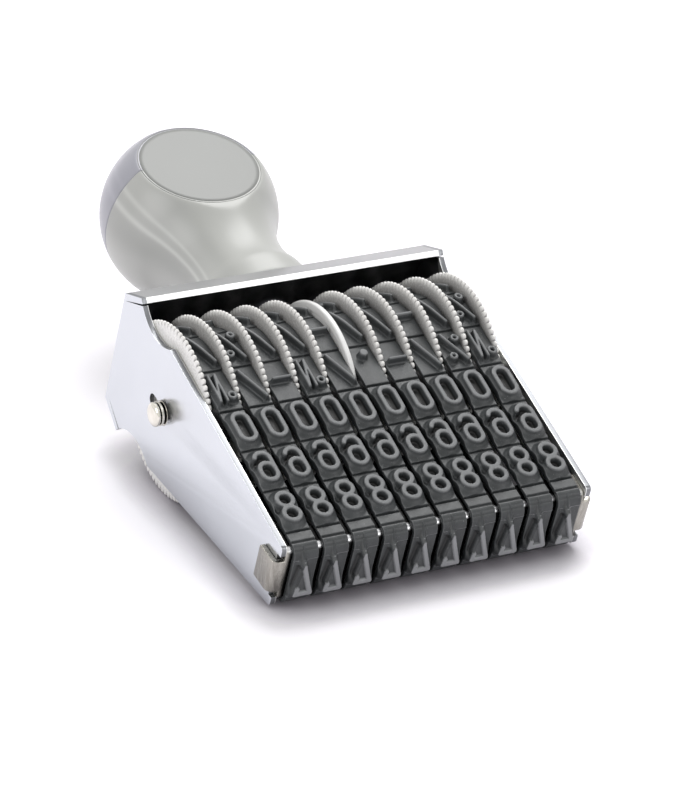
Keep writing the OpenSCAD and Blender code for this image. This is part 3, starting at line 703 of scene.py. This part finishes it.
def bandGrid(number, slip):
    # Height of the rubber over its path, as a function of the place along the path and the
    # place across the band, carried round the loop and closed by the band's inner side
    shape = bandShape
    place, across = bandRows()[:, None], bandColumns()[None, :]
    wrapped = wrapPlace(place)
    pad, edgeHighlight = padSurface(place, across)
    rise, added = bandCharacters(number, slip, wrapped, across)
    height = pad + (shape["crown"] - pad) * rise
    tone = np.maximum(rise, edgeHighlight) + added

    high, low = shape["sideRows"]
    foot = bandHalf - shape["innerRound"]
    inner = np.array([[bandHalf, high], [bandHalf, low], [foot, shape["inner"]],
                      [-foot, shape["inner"]], [-bandHalf, low], [-bandHalf, high]])
    allAcross = np.concatenate([across + 0 * place, inner[None, :, 0] + 0 * place], axis=1)
    allHeight = np.concatenate([height, inner[None, :, 1] + 0 * place], axis=1)
    allTone = np.concatenate([tone, np.zeros((len(place), len(inner)))], axis=1)
    side, up = bandPath(wrapped, allHeight)
    middle = (number - stamp["bandCount"] / 2 - 0.5) * stamp["pitch"]
    return np.stack([middle + allAcross, side, up], axis=-1), allTone


for number in range(1, stamp["bandCount"] + 1):
    points, tone = bandGrid(number, bandShape["slip"] * math.sin(2.4 * number))
    mesh = gridMesh(f"rubberBand{number:02d}", points, closedRows=True, closedColumns=True, tone=tone)
    placePiece(f"rubberBand{number:02d}", mesh, "stamp", rubber, [f"band_{number:02d}"])
print("bands ready,", len(mesh.polygons), "faces each")


wheelShape = {
    "rim": 0.65,
    "beadHalf": 0.39,
    "beadArc": (8, 172),    # part of a circle that a bead's outline takes, in degrees
    "beadBend": 0.7,
    "root": 14.75,          # radius between two beads
    "shoulder": 14.3,       # radius where the flat faces of the rim end
    "teeth": 84,
    "stepsPerTooth": 8,
    "drumRadius": 11.55,
    "drumLength": 5.4,
    "wall": 1.8,
    "bore": 2.15,
    "hub": 3.75,
    "soft": 0.15,
    "waist": 0.30,          # how much thinner the rim is between two beads
    "shadedRadii": (12.6, 15.2),    # radii where the faces turn from painted shade to full colour
    "shadeBend": 1.7,
    "gapSwell": (0.25, 0.62),   # rise of a bead over which the painted shade in its gap fades
    "gapShade": 0.95,
}


def wheelProfile():
    # A closed profile (place inwards from the rim's outer face, radius), and how much of a
    # bead every point carries
    shape = wheelShape
    bead = np.radians(np.linspace(*shape["beadArc"], 9))
    beadPlace = shape["rim"] / 2 - shape["beadHalf"] * np.cos(bead)
    rim, shoulder, wall = shape["rim"], shape["shoulder"], shape["wall"]
    drum, length, hub, bore = shape["drumRadius"], shape["drumLength"], shape["hub"], shape["bore"]
    face = [[0, bore], [0, shoulder]]
    inside = [[rim, shoulder], [rim, drum], [length, drum], [length, drum - wall], [wall, drum - wall],
              [wall, hub], [length, hub], [length, bore]]
    inside = roundLine(inside, shape["soft"], 3, closed=False)
    profile = np.vstack([face, np.stack([beadPlace, 0 * bead + shape["root"]], axis=-1), inside])
    carries = np.zeros((len(profile), 1))
    carries[len(face):len(face) + len(bead), 0] = np.sin(bead) ** shape["beadBend"]
    return profile, carries


def wheelGrid(number):
    # The profile carried round the axle. Its bead part swells and sinks with every tooth: a
    # blunt half circle across the rim times a half circle along it.
    shape = wheelShape
    profile, carries = wheelProfile()
    turn = np.linspace(0, 2 * math.pi, shape["teeth"] * shape["stepsPerTooth"], endpoint=False)
    share = np.mod(turn * shape["teeth"] / (2 * math.pi), 1)
    swell = np.sqrt(1 - (2 * share - 1) ** 2) * (stamp["wheelRadius"] - shape["root"])
    squeeze = (carries > 0) * shape["waist"] * (1 - np.sin(np.pi * share))
    radius = profile[:, 1:] + carries * swell
    place = profile[:, :1] + squeeze * (shape["rim"] / 2 - profile[:, :1])
    bank = stamp["bandCount"] // 2
    side = -1 if number <= bank else 1
    step = number - 1 if number <= bank else 2 * bank - number
    outer = (bank - step) * stamp["pitch"] + shape["rim"] / 2
    # Tone: painted shade, none at the rim and on the outer faces of the end wheels, darker
    # towards the drum and dark between two beads
    unshaded = ease(radius, *shape["shadedRadii"]) ** shape["shadeBend"]
    if number in (1, stamp["bandCount"]):
        unshaded = np.where(place < 0.05, 1, unshaded)
    # Painted shade in the gaps between beads
    between = carries * (1 - ease(swell, *shape["gapSwell"]))
    tone = unshaded * (1 - shape["gapShade"] * between)
    return np.stack([side * (outer - place), radius * np.cos(turn),
                     stamp["axleHeight"] + radius * np.sin(turn)], axis=-1), tone


for number in range(1, stamp["bandCount"] + 1):
    points, tone = wheelGrid(number)
    mesh = gridMesh(f"settingWheel{number:02d}", points, closedRows=True, closedColumns=True, tone=tone)
    placePiece(f"settingWheel{number:02d}", mesh, f"setting_{number:02d}", wheelGrey,
               [f"wheel_{number:02d}"])
print("wheels ready,", len(mesh.polygons), "faces each")


dividerShape = {
    "thick": 0.95,
    "thin": 0.65,
    "radius": 14.7,
    "lip": (1.8, 1.2),      # where the thick rim starts and is full, from the edge inwards
    "bore": 2.15,
    "round": 0.42,
}


def dividerProfile():
    shape = dividerShape
    half, thin, edge, bore = shape["thick"] / 2, shape["thin"] / 2, shape["radius"], shape["bore"]
    start, full = (edge - inward for inward in shape["lip"])
    corners = [[-thin, bore], [-thin, start], [-half, full], [-half, edge],
               [half, edge], [half, full], [thin, start], [thin, bore]]
    return roundLine(corners, shape["round"], 7)


mesh = gridMesh("dividerDisc", turnedOnAxle(dividerProfile(), 256), closedRows=True, closedColumns=True)
placePiece("dividerDisc", mesh, "divider", dividerWhite, ["centre_divider"])


axleShape = {
    "radius": 2.1,
    "stand": 2.2,           # how far each end stands out of its side plate
    "dome": 0.8,
    "grooves": ((0.02, 0.50), (0.88, 1.18)),
    "grooveRadius": 1.4,
    "soft": 0.07,
}


def axleEnd():
    # Outline of one end from the side plate out: grooves, collar and dome
    shape = axleShape
    plate = stamp["innerHalf"] + stamp["sheet"]
    tip = plate + shape["stand"]
    radius, deep = shape["radius"], shape["grooveRadius"]
    corners = [[0, radius]]
    for start, stop in shape["grooves"]:
        corners += [[plate + start, radius], [plate + start, deep], [plate + stop, deep],
                    [plate + stop, radius]]
    corners.append([tip - shape["dome"], radius])
    turned = roundLine(corners, shape["soft"], 4, closed=False)
    sweep = np.radians(np.linspace(6, 90, 12))
    dome = np.stack([tip - shape["dome"] * (1 - np.sin(sweep)), radius * np.cos(sweep)], axis=-1)
    return np.vstack([turned[1:], dome])


end = axleEnd()
profile = np.vstack([(end * [-1, 1])[::-1], end])
mesh = gridMesh("axleRod", turnedOnAxle(profile, 72), closedColumns=True, mergePoles=True)
placePiece("axleRod", mesh, "stamp", steel, ["axle_pin"])


knobShape = {
    "ballHeight": 92.0,
    "ballRadius": 15.9,
    "neckMiddle": (27.66, 72.4),
    "neckRadius": 18.0,
    "neckStart": 7,         # degrees that the neck's curve starts early
    "baseRadius": 10.7,
    "baseRound": 1.4,
    "jointRise": 0.8,       # how far the joint lies above the ball's middle
    "seam": 0.10,
    "seamSlope": ((0.15, 0.02), (0.4, 0.0)),    # inwards from the ball, and off the joint
    "core": 6,
    "flat": 11.1,
    "softEdge": 0.35,
    "flatReach": (1.5, 3.0),    # distance behind the flat where its soft edge fades out
    "steps": 288,
    # Painted streaks down the knob, light ones for lamp reflections and dark ones for shade: turn from the front,
    # width and strength
    "paintedStreaks": ((-71, 2.2, 0.8), (-61, 1.8, 0.55), (-84, 14, -0.45), (-40, 9, -0.25), (-5, 10, -0.2)),
    "capStreaks": 0.3,
}
knobJoint = knobShape["ballHeight"] + knobShape["jointRise"]


def knobGrid(profile):
    # A profile (radius, height) carried round the knob's axis. In front it runs into the
    # flat: the depth is held there by a smooth maximum with a short soft edge.
    shape = knobShape
    turn = np.linspace(0, 2 * math.pi, shape["steps"], endpoint=False)[None, :]
    radius, height = profile[:, :1], profile[:, 1:]
    depth = -radius * np.cos(turn)
    over = depth + shape["flat"]
    held = 0.5 * (over + np.sqrt(over ** 2 + shape["softEdge"] ** 2)) - shape["flat"]
    near = ease(over, *shape["flatReach"])
    depth = held * (1 - near) + depth * near
    turned = np.degrees(np.arctan2(np.sin(turn), np.cos(turn)))
    tone = sum(strength * np.exp(-((turned - middle) / width) ** 2)
               for middle, width, strength in shape["paintedStreaks"])
    return np.stack([radius * np.sin(turn), depth, height + 0 * turn], axis=-1), tone + 0 * height


def ballArc(start, end, steps):
    # The ball's outline between two heights above its middle
    radius = knobShape["ballRadius"]
    angles = [math.degrees(math.asin(height / radius)) for height in (start, end)]
    return arcPoints((0, knobShape["ballHeight"]), radius, *angles, steps)


def seamLine(side):
    # From the ball's edge in to the axis, on the body's side (-1) or the cap's side (1)
    points = [[knobShape["ballRadius"] - inward, knobJoint + side * off]
              for inward, off in knobShape["seamSlope"]]
    return np.array(points + [[knobShape["core"], knobJoint], [0, knobJoint]])


def knobBodyProfile():
    shape = knobShape
    neckX, neckZ = shape["neckMiddle"]
    base, foot = shape["baseRadius"], stamp["bracketTop"]
    baseTop = neckZ - math.sqrt(shape["neckRadius"] ** 2 - (neckX - base) ** 2)
    tangent = math.atan2(neckZ - shape["ballHeight"], neckX)
    start = 180 + math.degrees(math.asin((neckZ - baseTop) / shape["neckRadius"])) - shape["neckStart"]
    neck = arcPoints(shape["neckMiddle"], shape["neckRadius"], start, 180 + math.degrees(tangent), 48)
    top = shape["jointRise"] - shape["seam"]
    ball = ballArc(shape["ballRadius"] * math.sin(tangent), top, 64)
    corners = [[0, foot], [base, foot], [base, baseTop], neck[0]]
    lower = roundLine(corners, shape["baseRound"], 9, closed=False)
    return np.vstack([lower[:-1], neck, ball[1:], seamLine(-1)])


def knobCapProfile():
    shape = knobShape
    ball = ballArc(shape["jointRise"] + shape["seam"], shape["ballRadius"], 72)
    ball[-1, 0] = 0
    return np.vstack([seamLine(1)[::-1], ball])


points, tone = knobGrid(knobBodyProfile())
mesh = gridMesh("knobBody", points, closedColumns=True, mergePoles=True, tone=tone)
placePiece("knobBody", mesh, "stamp", knobGrey, ["knob_body"])
points, tone = knobGrid(knobCapProfile())
tone = tone * knobShape["capStreaks"]
mesh = gridMesh("knobCap", points, closedColumns=True, mergePoles=True, tone=tone)
placePiece("knobCap", mesh, "stamp", capGrey, ["knob_cap"])


labelShape = {
    "radius": 11.05,
    "thick": 0.7,
    "proud": 0.02,
    "groove": (0.38, 0.32, 0.14, 0.08),     # tops and feet of its walls, from the edge inwards
    "grooveDepth": 0.14,
    "soft": 0.05,
}


def labelGrid():
    # A round plate turned about the flat's own axis, with a fine groove at its edge
    shape = labelShape
    edge, proud, low = shape["radius"], shape["proud"], -shape["grooveDepth"]
    heights = (proud, low, low, proud)
    rim = [[edge - inward, height] for inward, height in zip(shape["groove"], heights)]
    rim = roundLine(rim + [[edge, 0.0], [edge, -shape["thick"]]], shape["soft"], 4, closed=False)
    profile = np.vstack([[[0, proud], [edge - 1.2, proud]], rim, [[0, -shape["thick"]]]])
    turn = np.linspace(0, 2 * math.pi, 192, endpoint=False)[None, :]
    radius, rise = profile[:, :1], profile[:, 1:]
    return np.stack([radius * np.cos(turn), -knobShape["flat"] - rise + 0 * turn,
                     knobShape["ballHeight"] + radius * np.sin(turn)], axis=-1)


mesh = gridMesh("labelPlate", labelGrid(), closedColumns=True, mergePoles=True)
placePiece("labelPlate", mesh, "stamp", labelGrey, ["label_plate"])
print("knob ready")


sheetFinish = {
    "weld": 2e-6,           # metres
    "flatAngle": 0.5,       # faces that meet within this many degrees become one
    "edgeAngle": 28,        # edges sharper than this many degrees are rounded
    "edgeRound": 0.16,
    "edgeSteps": 3,
}


def softCopy(name, node, material):
    # The node's own shape with its loose triangles joined, flat faces made whole and every
    # sharp edge rounded
    finish = sheetFinish
    mesh = frame["nodes"][node].data.copy()
    mesh.name = name
    mergeDoubles(mesh, finish["weld"])
    work = bmesh.new()
    work.from_mesh(mesh)
    flatAngle = math.radians(finish["flatAngle"])
    bmesh.ops.dissolve_limit(work, angle_limit=flatAngle, verts=work.verts, edges=work.edges)
    for face in work.faces:
        face.smooth = True
    work.to_mesh(mesh)
    work.free()
    piece = placePiece(name, mesh, "stamp", material, [node])
    rounding = piece.modifiers.new("rounding", "BEVEL")
    rounding.width = finish["edgeRound"] / 1000
    rounding.segments = finish["edgeSteps"]
    rounding.limit_method = "ANGLE"
    rounding.angle_limit = math.radians(finish["edgeAngle"])
    rounding.harden_normals = True


softCopy("chromeBracket", "frame_bracket", chrome)
softCopy("nickelBed", "printing_bed", nickel)
screw = frame["nodes"]["handle_screw"]
screw.data.materials.clear()
screw.data.materials.append(darkSteel)
print("sheet metal ready")


studio = {
    "floorHalf": 4.0,
    "floorColour": (0.93, 0.905, 0.95),
    "floorLift": 0.26,      # seen and mirrored floor is a little brighter than lit
    "contactReach": 0.007,
    "contactPower": 1.6,
    # colour of the painted contact shadow
    "contactShadowColour": (0.36, 0.33, 0.38),
    "fill": 0.43,           # even light from all round
    # Power, place and size of each lamp
    "lamps": {"keyLamp": (5.0, (0.30, 0.38, 0.72), 0.60),
              "frontLamp": (1.7, (0.40, -0.80, 0.42), 0.50),
              "leftLamp": (2.6, (-0.80, -0.10, 0.50), 0.60)},
}


def seenShare(material):
    # 1 on rays from the camera, mirrors and glass, 0 on the rays that carry light
    rays = addNode(material, "ShaderNodeLightPath")
    share = rays.outputs["Is Camera Ray"]
    for kind in ("Is Glossy Ray", "Is Transmission Ray"):
        share = calculate(material, "MAXIMUM", share, rays.outputs[kind])
    return share


def floorPaper():
    # White paper with a painted contact shadow: darker and without the lift where the stamp covers or touches it
    material = bpy.data.materials.new("floorPaper")
    material.use_nodes = True
    material.node_tree.nodes.clear()
    paler = tuple(value + 0.01 for value in studio["floorColour"])
    tone = noiseColour(material, objectNoise(material, 40, 2), studio["floorColour"], paler)
    near = addNode(material, "ShaderNodeAmbientOcclusion", {"Distance": studio["contactReach"]}, samples=8)
    openness = calculate(material, "POWER", near.outputs["AO"], studio["contactPower"])
    # Painted contact shadow where the stamp is near
    shaded = blendColours(material, openness, studio["contactShadowColour"], tone)
    paper = addNode(material, "ShaderNodeBsdfDiffuse", {"Color": shaded})
    lift = calculate(material, "MULTIPLY", seenShare(material), studio["floorLift"])
    glow = addNode(material, "ShaderNodeEmission",
                   {"Strength": calculate(material, "MULTIPLY", lift, openness)})
    both = addNode(material, "ShaderNodeAddShader", {0: paper.outputs[0], 1: glow.outputs[0]})
    addNode(material, "ShaderNodeOutputMaterial", {"Surface": both.outputs[0]})
    return material


def areaLamp(name, power, place, size):
    lamp = bpy.data.lights.new(name, "AREA")
    lamp.shape = "DISK"
    lamp.size = size
    lamp.energy = power
    holder = bpy.data.objects.new(name, lamp)
    bpy.context.scene.collection.objects.link(holder)
    holder.location = place
    holder.rotation_euler = (-Vector(place)).to_track_quat("-Z", "Y").to_euler()


floorMesh = bpy.data.meshes.new("floor")
half = studio["floorHalf"]
floorCorners = [(-half, -half, 0), (half, -half, 0), (half, half, 0), (-half, half, 0)]
floorMesh.from_pydata(floorCorners, [], [(0, 1, 2, 3)])
floor = bpy.data.objects.new("floor", floorMesh)
bpy.context.scene.collection.objects.link(floor)
floor.data.materials.append(floorPaper())

world = bpy.data.worlds.new("studioWorld")
bpy.context.scene.world = world
world.use_nodes = True
world.node_tree.nodes.clear()
strength = spread(world, seenShare(world), studio["fill"], 1.0, 0.0, 1.0)
sky = addNode(world, "ShaderNodeBackground", {"Color": (1, 1, 1, 1), "Strength": strength})
addNode(world, "ShaderNodeOutputWorld", {"Surface": sky.outputs[0]})
for name, lamp in studio["lamps"].items():
    areaLamp(name, *lamp)

# The camera is placed in the upright frame and laid down with the stamp
cameraSetup = {
    "place": (-316.81, -416.75, -405.72),
    "right": (0.8704, -0.1852, -0.4562),
    "up": (0.1570, -0.7738, 0.6137),
    "lens": 183.18,
    "sensor": 36,
    "nearest": 0.05,        # metres
    "farthest": 20,
}


def cameraMatrix():
    place = np.array(cameraSetup["place"])
    laid = [layDown(place + 1000 * np.array(cameraSetup[way])) - layDown(place) for way in ("right", "up")]
    right = Vector(laid[0]).normalized()
    back = right.cross(Vector(laid[1])).normalized()
    turned = Matrix((right, back.cross(right), back)).transposed().to_4x4()
    return Matrix.Translation(Vector(layDown(place))) @ turned


camera = bpy.data.objects.new("camera", bpy.data.cameras.new("camera"))
bpy.context.scene.collection.objects.link(camera)
camera.matrix_world = cameraMatrix()
camera.data.sensor_width = cameraSetup["sensor"]
camera.data.lens = cameraSetup["lens"]
camera.data.clip_start = cameraSetup["nearest"]
camera.data.clip_end = cameraSetup["farthest"]
bpy.context.scene.camera = camera
bpy.context.scene.view_settings.view_transform = "Standard"
print("studio ready")
